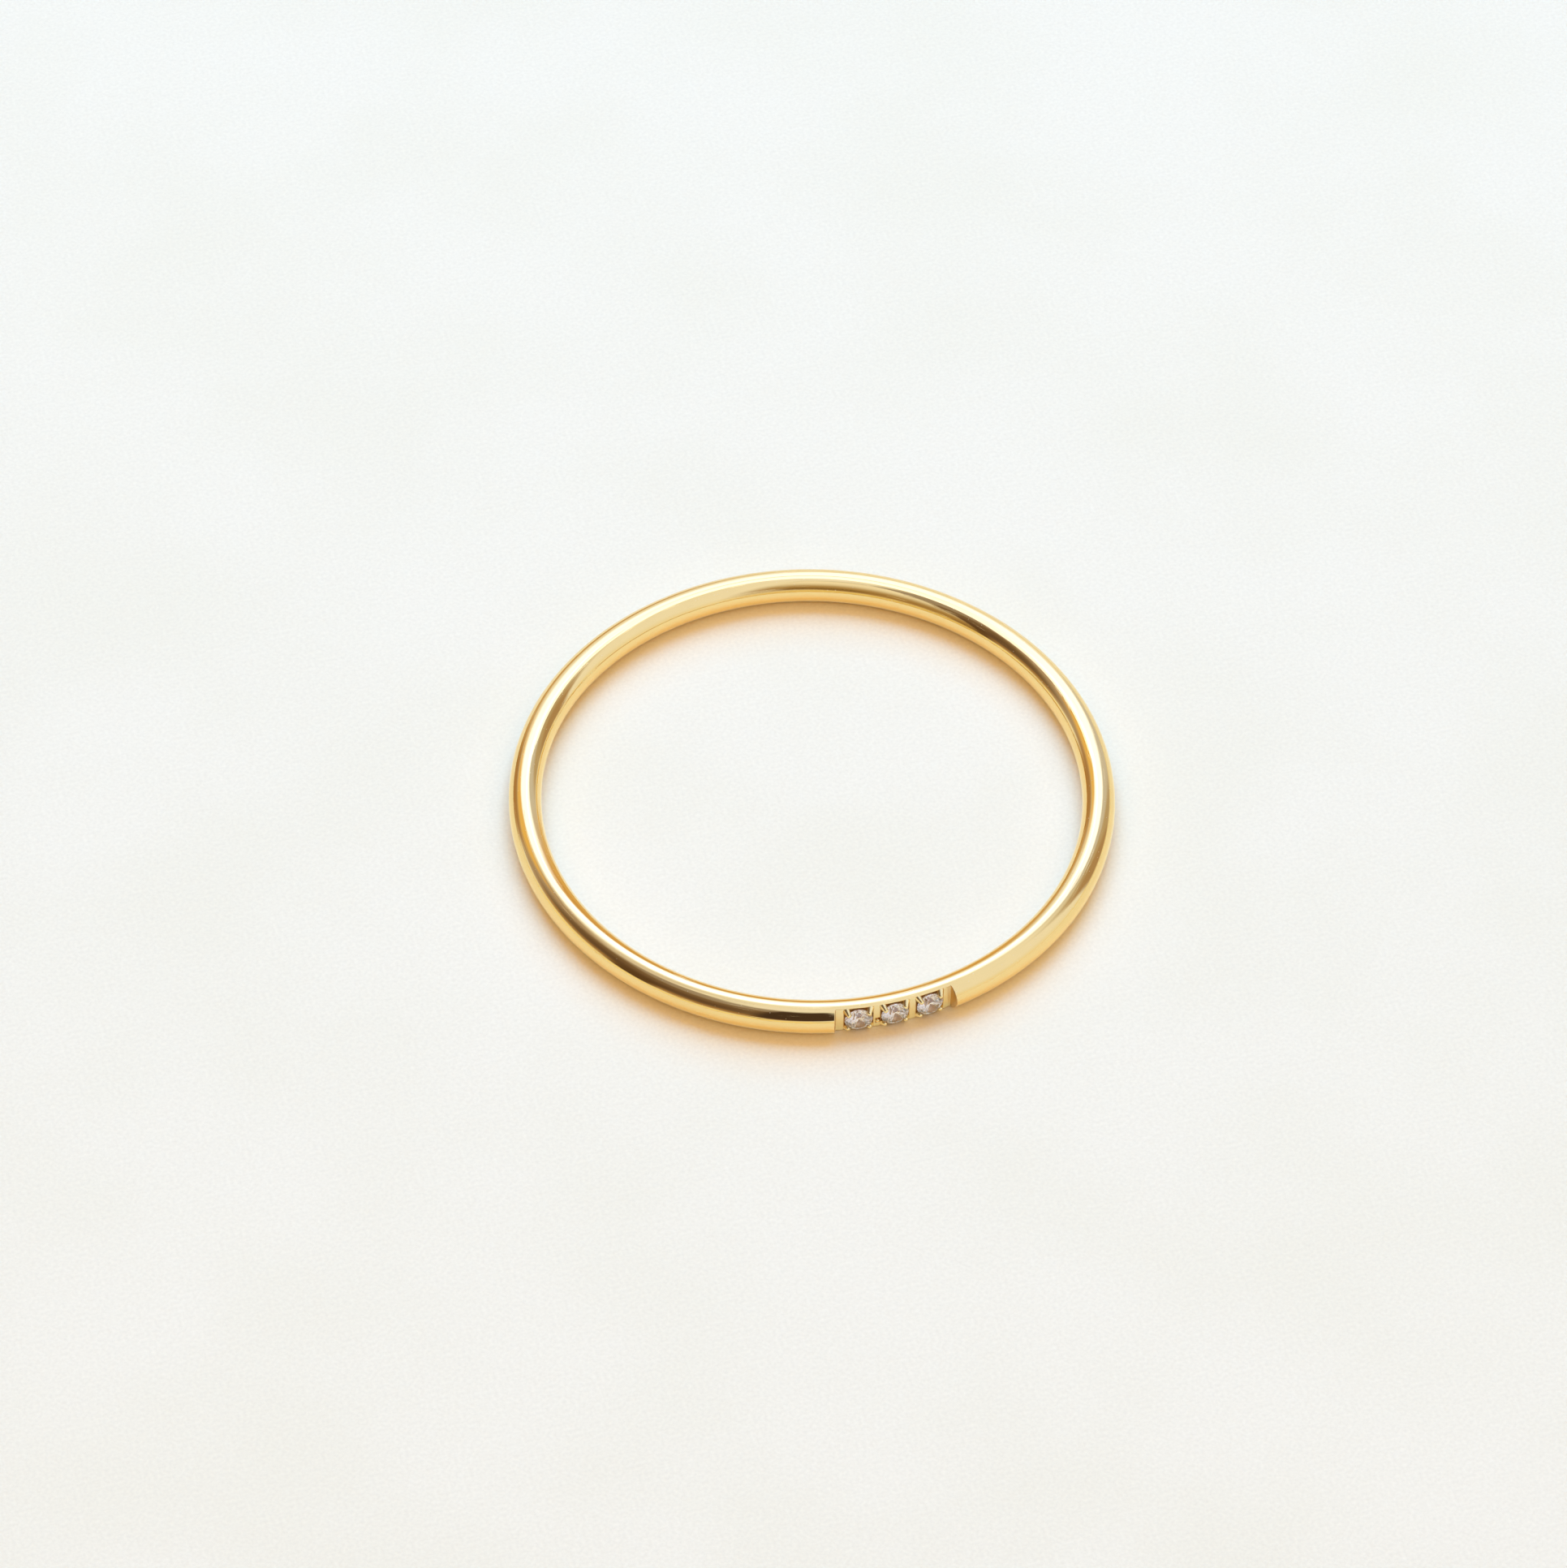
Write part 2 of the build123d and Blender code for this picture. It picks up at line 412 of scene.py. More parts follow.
@dataclass
class Band:
    """The loop of round wire with its milled recess, as one closed surface.

    Attributes:
        sizes: the ring's sizes.
        stone: the stones' proportions.
        centres: arc of each stone along the face.
        slot: the groove that the spare grain stands in.
        edge: width of the rounded walls of a pocket.
        shade_outline: how far the painted shade of a pocket reaches past its walls.
        rounding: reach of the rounded long edges of the face.
        fillet: length along the band of the roundings at foot and head of an end wall.
        fillet_share: share of the end wall's height that each rounding takes.
        settle: stretch beyond an end wall over which the columns come back to even places.
        crown: how far the face falls back from its middle to its long edges.
        fine: column step in the setting.
        coarse: column step in degrees on plain wire.
        margin: least step between the columns beside an end wall.
        steep: column step up the straight of an end wall.
        wall_columns: columns across one wall of a pocket.
        column_gap: how far even columns stay from a wall's middle, as a share of the wall's width.
        ramp_start: first of the growing column steps on plain wire.
        ramp_columns: how many of them there are.
        row_gap: how far even rows stay from a slot end's middle, as a share of its width.
        rim_reach: how far the rows of the rim reach past the face's rounded edge.
        inner_rows: even rows between the pockets' upper and lower walls.
        arc_rows: rows round the back of the wire.
        seat_turn: half the angle round the ring in which a stone's seat is cut, in radians.
        shade_foot_share: share of an end wall's height from which it has painted shade.
    """

    sizes: RingSizes
    stone: Brilliant
    centres: list[float]
    slot: Groove
    edge: float = 0.014
    shade_outline: float = 0.026
    rounding: float = 0.020
    fillet: float = 0.018
    fillet_share: float = 0.07
    settle: float = 0.30
    crown: float = 0.02
    fine: float = 0.0165
    coarse: float = 1.5
    margin: float = 0.004
    steep: float = 0.001
    wall_columns: int = 11
    column_gap: float = 0.7
    ramp_start: float = 0.012
    ramp_columns: int = 16
    row_gap: float = 0.8
    rim_reach: float = 0.0008
    inner_rows: int = 64
    arc_rows: int = 44
    seat_turn: float = 0.06
    shade_foot_share: float = 0.03

    def wall_steps(self) -> tuple[np.ndarray, np.ndarray]:
        """Steps across one end wall, from the face to the wire.

        Returns:
            Distance along the band of each column, and the share of the wall's height that it has reached.
        """
        turn = np.linspace(0.0, 90.0, 6)[1:]
        foot = 1 - np.cos(np.radians(turn))
        low = self.fillet * np.sin(np.radians(turn))
        share = self.fillet_share * foot / foot[-1]
        middle = np.linspace(self.fillet_share, 1 - self.fillet_share, 7)[1:-1]
        straight = self.fillet + self.steep * np.arange(1, len(middle) + 1)
        head = self.fillet + self.steep * (len(middle) + 1) + (self.fillet - low[::-1])
        along = np.concatenate([[0.0], low, straight, head])
        rise = np.concatenate([[0.0], share, middle, 1 - share[::-1]])
        return np.append(along, along[-1] + self.margin), np.append(rise, 1.0)

    def columns(self) -> tuple[np.ndarray, np.ndarray, np.ndarray]:
        """Columns round the whole loop, in the order of their arcs.

        Returns:
            Arc along the face, share of the end wall's height reached, and share of its own slant taken.
        """
        sizes = self.sizes
        walls = [centre + side * sizes.cell_width / 2 for centre in self.centres for side in (-1, 1)]
        walls += self.slot.stops()
        inside = np.arange(-sizes.half_setting, sizes.half_setting, self.fine)
        across = np.linspace(-self.edge, self.edge, self.wall_columns) / 2
        close = np.concatenate([wall + across for wall in walls])
        face = np.sort(np.concatenate([self.clear_of(walls, inside, self.column_gap), close]))
        face = face[np.append(True, np.diff(face) > 0.1 * self.edge / 2)]
        face = face[np.abs(face) < sizes.half_setting - self.margin]
        steps, rise = self.wall_steps()
        right = sizes.half_setting + steps
        turn = radians(self.coarse) * (sizes.loop + sizes.face)
        half_loop = np.pi * (sizes.loop + sizes.face)
        ramp = right[-1] + np.cumsum(np.geomspace(self.ramp_start, turn, self.ramp_columns))
        plain = np.linspace(ramp[-1], half_loop, int((half_loop - ramp[-1]) / turn) + 1)[1:]
        outer = np.concatenate([right, ramp, plain])
        rise = np.concatenate([rise, np.ones(len(ramp) + len(plain))])
        slant = rise * np.clip(1 - (outer - right[-1]) / self.settle, 0, 1)
        along = np.concatenate([-outer[:-1][::-1], face, outer])
        rises = np.concatenate([rise[:-1][::-1], np.zeros(len(face)), rise])
        slants = np.concatenate([-slant[:-1][::-1], np.zeros(len(face)), slant])
        return along, rises, slants

    def clear_of(self, walls: list[float], places: np.ndarray, gap: float) -> np.ndarray:
        """Picks the places that lie clear of every wall.

        Args:
            walls: middles of the walls.
            places: the places to pick from.
            gap: the clear distance, as a share of a wall's width.

        Returns:
            The places picked.
        """
        nearest = np.min(np.abs(places[:, None] - np.array(walls)[None, :]), axis=1)
        return places[nearest > gap * self.edge]

    def rows(self) -> np.ndarray:
        """Angles of the rows round the wire's section.

        Across the face they lie at chosen heights, close together at the pockets' walls, the slot's ends and
        the face's long edges. Round the back they are even.

        Returns:
            The angles, in degrees up from straight outwards.
        """
        sizes = self.sizes
        top = sqrt(sizes.radius**2 - (sizes.face - self.rounding) ** 2) + self.rim_reach
        half = self.edge / 2
        rim = np.concatenate([np.linspace(sizes.cell_top - half, sizes.cell_top + half, 8),
                              np.linspace(sizes.cell_top + half, top, 10)[1:]])
        ends = [end + np.linspace(-half, half, 6) for end in (self.slot.low, self.slot.high)]
        inner = np.linspace(-sizes.cell_top + half, sizes.cell_top - half, self.inner_rows + 2)[1:-1]
        inner = self.clear_of([self.slot.low, self.slot.high], inner, self.row_gap)
        heights = np.sort(np.concatenate([-rim, rim, inner, *ends]))
        front = np.degrees(np.arcsin(heights / sizes.radius))
        back = np.linspace(front[-1], 360 + front[0], self.arc_rows + 2)[1:-1]
        return np.concatenate([front, back])

    def cell_share(self, beside: np.ndarray, up: np.ndarray, grow: float) -> np.ndarray:
        """How much of its depth a stone's pocket has at a place: one rounded step at every wall, multiplied.

        Args:
            beside: distance along the face from the stone's middle.
            up: height above the middle of the wire.
            grow: how far each wall is moved outwards.

        Returns:
            The share, 0 to 1.
        """
        half = self.edge / 2
        side, top = self.sizes.cell_width / 2 + grow, self.sizes.cell_top + grow
        across = smooth_step(np.abs(beside), side + half, side - half)
        return across * smooth_step(np.abs(up), top + half, top - half)

    def pocket_share(self, along: np.ndarray, up: np.ndarray, grow: float) -> np.ndarray:
        """How much of the pockets' depth there is at a place: the most of the slot's and each stone's.

        Args:
            along: arc along the face.
            up: height above the middle of the wire.
            grow: how far each wall of the stones' pockets is moved outwards.

        Returns:
            The share, 0 to 1.
        """
        cells = [self.cell_share(along - centre, up, grow) for centre in self.centres]
        return np.maximum.reduce([self.slot.share(along, up), *cells])

    def surface(self) -> Sheet:
        """The band's closed surface.

        Outside the recess the distance out is that of a circle, radius * cos(angle). In the recess it is the
        lesser of that and the face, rounded where they meet. The face falls back by crown * (height over half
        its own height) squared. An end wall adds a share of the height between the two. Each pocket takes its
        depth off by one rounded step at every wall. Each seat is the lesser of what is left and the cone that
        the stone needs.

        Returns:
            The surface, with its finishes and its painted shade: in the pockets, along their edges and on the
            end walls.
        """
        sizes = self.sizes
        along, rise, slant = self.columns()
        angle = np.radians(self.rows())[:, None]
        wire, up = sizes.radius * np.cos(angle), sizes.radius * np.sin(angle)
        front = np.cos(angle) > 0
        face = sizes.face - self.crown * (up / sizes.face_height) ** 2
        cut = np.where(front, smooth_min(wire, face, self.rounding), wire)
        height = wire - cut
        place = along[None, :] + tan(radians(sizes.draft)) * height * slant[None, :]
        out = cut + height * rise[None, :]
        up = np.broadcast_to(up, out.shape)
        # The second share, grown past the walls, is painted shade for the pockets and their edges, not a
        # depth.
        depth, tone = (front * self.pocket_share(place, up, grow) for grow in (0.0, self.shade_outline))
        out = out - sizes.pocket * depth
        for centre in self.centres:
            turn = (place - centre) / (sizes.loop + sizes.face)
            side = (sizes.loop + sizes.face) * np.sin(turn)
            floor = self.stone.seat_floor(np.hypot(side, up))
            plane = sizes.loop + sizes.face + sizes.girdle_rise
            near = (np.abs(turn) < self.seat_turn) & front
            seat = np.where(near, (plane + floor) / np.cos(turn) - sizes.loop, sizes.radius)
            out = np.where(near, np.minimum(out, seat), out)
        in_recess = (rise[None, :] < 1) & front & (np.abs(up) < sizes.face_height)
        finish = np.where(in_recess, Part.MILLED.value, Part.POLISHED.value)
        # The end walls get full painted shade as well.
        tone = np.where(in_recess & (rise[None, :] > self.shade_foot_share), 1.0, tone)
        return Sheet(sizes.place(place, out, up)[::-1], True, finish[::-1], tone[::-1])

    def build(self, materials: list[bpy.types.Material]) -> bpy.types.Object:
        """Makes the band's object, which stands for the solid band.

        Args:
            materials: polished and milled gold.

        Returns:
            The band.
        """
        piece = piece_from("ring_band", [self.surface()], materials)
        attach(piece, "root")
        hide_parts("band")
        return piece


# ---------------------------------------------------------------- prongs and grain


@dataclass
class Prongs:
    """The four prongs of one stone: tapered, round-tipped, leaning over its girdle.

    Attributes:
        sizes: the ring's sizes.
        stone: the stone they hold.
        centre: the stone's arc along the face.
        circle: diameter of the circle through the prongs' middles, at the face.
        root_diameter: a prong's diameter at its buried end.
        tip: its diameter at the tip.
        lean: degrees, towards the stone's axis.
        root: from the face down into the metal.
        upper_length: an upper prong's length, from the face to the tip.
        lower_length: a lower prong's length.
        sides: points round a prong.
        steps: points along its shaft, and again round its tip.
    """

    sizes: RingSizes
    stone: Brilliant
    centre: float
    circle: float = 1.00
    root_diameter: float = 0.27
    tip: float = 0.16
    lean: float = 20.0
    root: float = 0.09
    upper_length: float = 0.19
    lower_length: float = 0.135
    sides: int = 40
    steps: int = 14

    def prong(self, direction: float) -> Sheet:
        """One prong's closed surface.

        A point is turned about the prong's own axis at the shaft's radius, leaned inwards, and last pushed
        away from the stone's axis as far as the seat turned for the stone.

        Args:
            direction: where it stands round the stone, in degrees; the upper two come before 180.

        Returns:
            Its surface.
        """
        shaft = (self.upper_length if direction < 180 else self.lower_length) - self.tip / 2
        along = np.linspace(-self.root, shaft, self.steps)
        radius = np.interp(along, [-self.root, shaft], [self.root_diameter / 2, self.tip / 2])
        turn = np.radians(np.linspace(0, 90, self.steps))[1:-1]
        along = np.concatenate([along, shaft + self.tip / 2 * np.sin(turn)])[:, None]
        radius = np.concatenate([radius, self.tip / 2 * np.cos(turn)])[:, None]
        around = np.radians(np.arange(self.sides) * 360 / self.sides)[None, :]
        lean, foot = radians(self.lean), self.circle / 2
        inward = along * sin(lean) - radius * np.cos(around) * cos(lean)
        distance = foot - inward
        out = along * cos(lean) + radius * np.cos(around) * sin(lean)
        across = radius * np.sin(around)
        bearing = radians(direction)
        side = distance * cos(bearing) - across * sin(bearing)
        up = distance * sin(bearing) + across * cos(bearing)
        seat = self.stone.seat_radius(out - self.sizes.girdle_rise)
        reach = np.hypot(side, up)
        push = np.maximum(reach, seat) / reach
        points = self.sizes.stone_place(self.centre, side * push, up * push, out)
        return Sheet(points)

    def build(self, name: str, materials: list[bpy.types.Material]) -> bpy.types.Object:
        """Makes the object that holds the stone's four prongs.

        Args:
            name: name of the object.
            materials: the beads' gold.

        Returns:
            The prongs.
        """
        piece = piece_from(name, [self.prong(45 + 90 * k) for k in range(4)], materials)
        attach(piece, "root")
        return piece


@dataclass
class SpareGrain:
    """The bead of metal that stands in the slot at the foot of a bar.

    Attributes:
        sizes: the ring's sizes.
        centre: its arc along the face.
        drop: its middle below the wire's middle.
        diameter: of the bead.
        sides: points round it.
    """

    sizes: RingSizes
    centre: float
    drop: float = 0.24
    diameter: float = 0.15
    sides: int = 32

    def build(self, materials: list[bpy.types.Material]) -> bpy.types.Object:
        """Makes the bead, a ball with a quarter of its diameter under the face.

        Args:
            materials: polished and milled gold.

        Returns:
            The bead.
        """
        polar = np.radians(np.linspace(-90, 90, self.sides // 2 + 1))[1:-1, None]
        around = np.radians(np.arange(self.sides) * 360 / self.sides)[None, :]
        radius = self.diameter / 2
        side, up = radius * np.cos(polar) * np.cos(around), radius * np.cos(polar) * np.sin(around)
        out = radius * np.sin(polar) + 0 * around
        points = self.sizes.stone_place(self.centre, side, up - self.drop, out - self.diameter / 4)
        piece = piece_from("spare_grain", [Sheet(points)], materials)
        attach(piece, "root")
        return piece


# ---------------------------------------------------------------- finishes


class Wiring:
    """Adds nodes to one node tree and joins them."""

    def __init__(self, tree: bpy.types.NodeTree) -> None:
        """Keeps the tree and starts the layout at its left."""
        self.tree = tree
        self.placed = 0

    def node(self, kind: str, **settings: object) -> bpy.types.Node:
        """Adds a node.

        Args:
            kind: the node's type name.
            settings: properties to set on it.

        Returns:
            The node.
        """
        made = self.tree.nodes.new(kind)
        for name, value in settings.items():
            setattr(made, name, value)
        made.location = (180 * (self.placed % 12), -260 * (self.placed // 12))
        self.placed += 1
        return made

    def feed(self, socket: bpy.types.NodeSocket, value: object) -> None:
        """Links a socket into an input, or sets the input to a plain value.

        Args:
            socket: the input.
            value: another node's output, or a value.
        """
        if isinstance(value, bpy.types.NodeSocket):
            self.tree.links.new(value, socket)
        else:
            socket.default_value = value

    def math(self, operation: str, *values: object) -> bpy.types.NodeSocket:
        """Adds a Math node.

        Args:
            operation: what it does.
            values: an output or a number for each of its inputs.

        Returns:
            Its output.
        """
        made = self.node("ShaderNodeMath", operation=operation)
        for socket, value in zip(made.inputs, values):
            self.feed(socket, value)
        return made.outputs[0]

    def span(self, value: object, low: float, high: float, to_low: float = 0.0, to_high: float = 1.0,
             kind: str = "SMOOTHSTEP") -> bpy.types.NodeSocket:
        """Adds a Map Range node that takes low..high to to_low..to_high.

        Args:
            value: what it reads.
            low: value at its start.
            high: value at its end; below low for a falling step.
            to_low: output at its start.
            to_high: output at its end.
            kind: how it goes between them.

        Returns:
            Its output.
        """
        made = self.node("ShaderNodeMapRange", interpolation_type=kind)
        for name, entry in zip(("Value", "From Min", "From Max", "To Min", "To Max"),
                               (value, low, high, to_low, to_high)):
            self.feed(made.inputs[name], entry)
        return made.outputs["Result"]

    def mix(self, share: object, first: object, second: object) -> bpy.types.NodeSocket:
        """Adds a colour Mix node.

        Args:
            share: how much of the second colour there is.
            first: the colour at 0.
            second: the colour at 1.

        Returns:
            Its output.
        """
        made = self.node("ShaderNodeMix", data_type="RGBA")
        self.feed(made.inputs["Factor"], share)
        self.feed(made.inputs[6], first)
        self.feed(made.inputs[7], second)
        return made.outputs[2]

    def split(self, vector: object) -> list[bpy.types.NodeSocket]:
        """Adds a Separate XYZ node.

        Args:
            vector: what it takes apart.

        Returns:
            Its three outputs.
        """
        made = self.node("ShaderNodeSeparateXYZ")
        self.feed(made.inputs[0], vector)
        return list(made.outputs)

    def length(self, first: object, second: object) -> bpy.types.NodeSocket:
        """Adds the root of the sum of two squares, and returns its output."""
        squares = [self.math("MULTIPLY", value, value) for value in (first, second)]
        return self.math("SQRT", self.math("ADD", *squares))

    def group(self, tree: bpy.types.NodeTree, place: object, **values: float) -> bpy.types.Node:
        """Adds a shared group.

        Args:
            tree: the group.
            place: the place that it reads.
            values: its other inputs, by name.

        Returns:
            The group's node.
        """
        made = self.node("ShaderNodeGroup", node_tree=tree)
        self.feed(made.inputs["Position"], place)
        for name, value in values.items():
            made.inputs[name].default_value = value
        return made

    def noise(self, vector: object, scale: float, detail: float = 2.0,
              extra: object = None) -> bpy.types.NodeSocket:
        """Adds a Noise Texture, of four dimensions where extra is given.

        Args:
            vector: the place that it reads.
            scale: grains per unit of the vector.
            detail: how many finer layers it has.
            extra: the fourth part of the place.

        Returns:
            Its value.
        """
        made = self.node("ShaderNodeTexNoise", noise_dimensions="3D" if extra is None else "4D")
        self.feed(made.inputs["Vector"], vector)
        self.feed(made.inputs["Scale"], scale)
        self.feed(made.inputs["Detail"], detail)
        if extra is not None:
            self.feed(made.inputs["W"], extra)
        return made.outputs["Fac"]


class WearGroups:
    """Shader groups that several finishes share."""

    def __init__(self) -> None:
        """Builds each group once."""
        self.hairlines = self._hairlines()
        self.specks = self._specks()

    @staticmethod
    def _new(name: str, inputs: list[tuple[str, str, float]], outputs: list[tuple[str, str]]) -> tuple:
        """Makes an empty group.

        Args:
            name: the group's name.
            inputs: name, socket type and first value of each input.
            outputs: name and socket type of each output.

        Returns:
            The group, its wiring, its input node and its output node.
        """
        group = bpy.data.node_groups.new(name, "ShaderNodeTree")
        for label, kind, value in inputs:
            socket = group.interface.new_socket(label, in_out="INPUT", socket_type=kind)
            if kind == "NodeSocketFloat":
                socket.default_value = value
        for label, kind in outputs:
            group.interface.new_socket(label, in_out="OUTPUT", socket_type=kind)
        wiring = Wiring(group)
        return group, wiring, wiring.node("NodeGroupInput"), wiring.node("NodeGroupOutput")

    def _hairlines(self) -> bpy.types.NodeTree:
        """Fine polishing lines that run along the band.

        The noise is read at the unit circle of the azimuth and, much finer, at the height and the distance
        from the ring's axis, so its grains are long along the band and narrow across it, with no seam.

        Returns:
            The group.
        """
        group, w, start, end = self._new(
            "polishing_lines",
            [("Position", "NodeSocketVector", 0.0), ("Along", "NodeSocketFloat", 6.0),
             ("Across", "NodeSocketFloat", 22000.0), ("Sparseness", "NodeSocketFloat", 0.60)],
            [("Lines", "NodeSocketFloat"), ("Waves", "NodeSocketFloat")])
        x, y, z = w.split(start.outputs["Position"])
        reach = w.length(x, y)
        sparse = start.outputs["Sparseness"]
        # output, grains round the unit circle, grains in a metre across the band
        kinds = ("Lines", start.outputs["Along"], start.outputs["Across"]), ("Waves", 11.0, 2600.0)
        for label, along, across in kinds:
            spot = w.node("ShaderNodeCombineXYZ")
            w.feed(spot.inputs[0], w.math("MULTIPLY", w.math("DIVIDE", x, reach), along))
            w.feed(spot.inputs[1], w.math("MULTIPLY", w.math("DIVIDE", y, reach), along))
            w.feed(spot.inputs[2], w.math("MULTIPLY", z, across))
            grain = w.noise(spot.outputs[0], 1.0, 2.0, w.math("MULTIPLY", reach, across))
            if label == "Lines":
                grain = w.span(grain, sparse, w.math("ADD", sparse, 0.12))
            w.feed(end.inputs[label], grain)
        return group

    def _specks(self) -> bpy.types.NodeTree:
        """Tiny pits and dust: a dot at the middle of a few of the cells of a cell texture.

        Returns:
            The group.
        """
        group, w, start, end = self._new(
            "dust_specks",
            [("Position", "NodeSocketVector", 0.0), ("Cells", "NodeSocketFloat", 9000.0),
             ("Share", "NodeSocketFloat", 0.10), ("Size", "NodeSocketFloat", 0.15)],
            [("Specks", "NodeSocketFloat")])
        cells = w.node("ShaderNodeTexVoronoi", feature="F1")
        w.feed(cells.inputs["Vector"], start.outputs["Position"])
        w.feed(cells.inputs["Scale"], start.outputs["Cells"])
        chosen = w.math("LESS_THAN", w.split(cells.outputs["Color"])[0], start.outputs["Share"])
        dot = w.span(cells.outputs["Distance"], start.outputs["Size"], 0.02)
        w.feed(end.inputs["Specks"], w.math("MULTIPLY", chosen, dot))
        return group


def new_material(name: str) -> tuple[bpy.types.Material, Wiring, bpy.types.Node, bpy.types.NodeSocket]:
    """Makes a material with a Principled BSDF and the object's own coordinates.

    Args:
        name: the material's name.

    Returns:
        The material, its wiring, the shader and the Object coordinates.
    """
    material = bpy.data.materials.new(name)
    material.use_nodes = True
    material.node_tree.nodes.clear()
    wiring = Wiring(material.node_tree)
    shader = wiring.node("ShaderNodeBsdfPrincipled")
    output = wiring.node("ShaderNodeOutputMaterial")
    wiring.feed(output.inputs["Surface"], shader.outputs["BSDF"])
    place = wiring.node("ShaderNodeTexCoord").outputs["Object"]
    return material, wiring, shader, place


@dataclass(frozen=True)
class Gold:
    """Yellow gold, polished or left from the mill.

    Attributes:
        name: the material's name.
        colour: of the clean metal.
        painted_shade: colour of painted shade, mixed in down in a pocket, along a pocket's edges and on an
            end wall.
        roughness: of the clean metal.
        speck_share: share of the cells that hold a speck.
        line_roughness: added in a polishing line.
        line_height: depth of a polishing line, in millimetres.
        wave_height: height of the surface's slow waves, in millimetres.
        grain_height: height of the mill's grain, in millimetres.
        dust: colour of a speck.
        dust_cover: how much of the metal's colour a speck hides.
        dust_roughness: added in a speck.
        dust_height: height of a speck, in millimetres.
        cloud_scale: how fine the slow changes of tone are, in clouds per metre.
        cloud_shade: the darker tone, as a share of the colour.
        cloud_roughness: added in the thickest clouds.
        grain_scale: how fine the mill's grain is, in grains per metre.
    """

    name: str
    colour: tuple[float, float, float]
    painted_shade: tuple[float, float, float]
    roughness: float
    speck_share: float
    line_roughness: float = 0.06
    line_height: float = 0.0004
    wave_height: float = 0.0010
    grain_height: float = 0.0
    dust: tuple[float, float, float] = (0.86, 0.78, 0.62)
    dust_cover: float = 0.8
    dust_roughness: float = 0.55
    dust_height: float = 0.0012
    cloud_scale: float = 900.0
    cloud_shade: float = 0.985
    cloud_roughness: float = 0.03
    grain_scale: float = 26000.0

    def material(self, groups: WearGroups) -> bpy.types.Material:
        """Builds the material.

        Args:
            groups: the shared wear groups.

        Returns:
            The material.
        """
        material, w, shader, place = new_material(self.name)
        lines = w.group(groups.hairlines, place)
        specks = w.group(groups.specks, place, Share=self.speck_share)
        # Share of painted shade at each point, set by the band's pockets, their edges and its end walls.
        pocket = w.node("ShaderNodeAttribute", attribute_name="pocket_shade").outputs["Fac"]
        cloud = w.noise(place, self.cloud_scale, 3.0)
        shade = tuple(self.cloud_shade * part for part in self.colour)
        clean = w.mix(w.span(cloud, 0.35, 0.65), (*self.colour, 1), (*shade, 1))
        # Painted shade: a darker colour mixed in down the pockets, along their edges and on the end walls.
        deep = w.mix(pocket, clean, (*self.painted_shade, 1))
        dust = w.mix(w.math("MULTIPLY", specks.outputs["Specks"], self.dust_cover), deep, (*self.dust, 1))
        w.feed(shader.inputs["Base Color"], dust)
        shader.inputs["Metallic"].default_value = 1.0
        rough = w.math("MULTIPLY_ADD", lines.outputs["Lines"], self.line_roughness, self.roughness)
        rough = w.math("MULTIPLY_ADD", w.span(cloud, 0.5, 0.8), self.cloud_roughness, rough)
        rough = w.math("MULTIPLY_ADD", specks.outputs["Specks"], self.dust_roughness, rough)
        w.feed(shader.inputs["Roughness"], rough)
        grain = w.math("MULTIPLY", w.noise(place, self.grain_scale), self.grain_height)
        height = w.math("MULTIPLY_ADD", lines.outputs["Waves"], self.wave_height, grain)
        height = w.math("MULTIPLY_ADD", lines.outputs["Lines"], -self.line_height, height)
        height = w.math("MULTIPLY_ADD", specks.outputs["Specks"], self.dust_height, height)
        bump = w.node("ShaderNodeBump")
        bump.inputs["Strength"].default_value = 1.0
        bump.inputs["Distance"].default_value = MM
        w.feed(bump.inputs["Height"], height)
        w.feed(shader.inputs["Normal"], bump.outputs["Normal"])
        return material


@dataclass(frozen=True)
class ClearStone:
    """Colourless cut stone, clean but for a little dust.

    Attributes:
        colour: tint of the light it lets through.
        cloud: the tint in its slow clouds.
        cloud_scale: how fine they are, in clouds per metre.
        index: how strongly it bends light.
        roughness: of the clean stone.
        dust_share: share of the cells that hold a speck.
        dust: colour of a speck.
        dust_roughness: added in a speck.
    """

    colour: tuple[float, float, float] = (1.0, 0.915, 0.80)
    cloud: tuple[float, float, float] = (0.99, 0.915, 0.83)
    cloud_scale: float = 2500.0
    index: float = 2.17
    roughness: float = 0.085
    dust_share: float = 0.05
    dust: tuple[float, float, float] = (0.9, 0.88, 0.84)
    dust_roughness: float = 0.3

    def material(self, groups: WearGroups) -> bpy.types.Material:
        """Builds the material.

        Args:
            groups: the shared wear groups.

        Returns:
            The material.
        """
        material, w, shader, place = new_material("stone_clear")
        specks = w.group(groups.specks, place, Share=self.dust_share).outputs["Specks"]
        tint = w.mix(w.noise(place, self.cloud_scale), (*self.colour, 1), (*self.cloud, 1))
        w.feed(shader.inputs["Base Color"], w.mix(specks, tint, (*self.dust, 1)))
        rough = w.math("MULTIPLY_ADD", specks, self.dust_roughness, self.roughness)
        w.feed(shader.inputs["Roughness"], rough)
        shader.inputs["Metallic"].default_value = 0.0
        shader.inputs["Transmission Weight"].default_value = 1.0
        shader.inputs["IOR"].default_value = self.index
        return material


def stage_sheet(name: str, corners: np.ndarray, material: bpy.types.Material) -> bpy.types.Object:
    """Makes an object of one flat face that isn't part of the ring, and marks it so.

    Args:
        name: name of the object and its mesh.
        corners: its four corners, in metres.
        material: its material.

    Returns:
        The object.
    """
    mesh = bpy.data.meshes.new(name)
    mesh.from_pydata(corners.tolist(), [], [(0, 1, 2, 3)])
    mesh.materials.append(material)
    sheet = bpy.data.objects.new(name, mesh)
    bpy.context.scene.collection.objects.link(sheet)
    return sheet


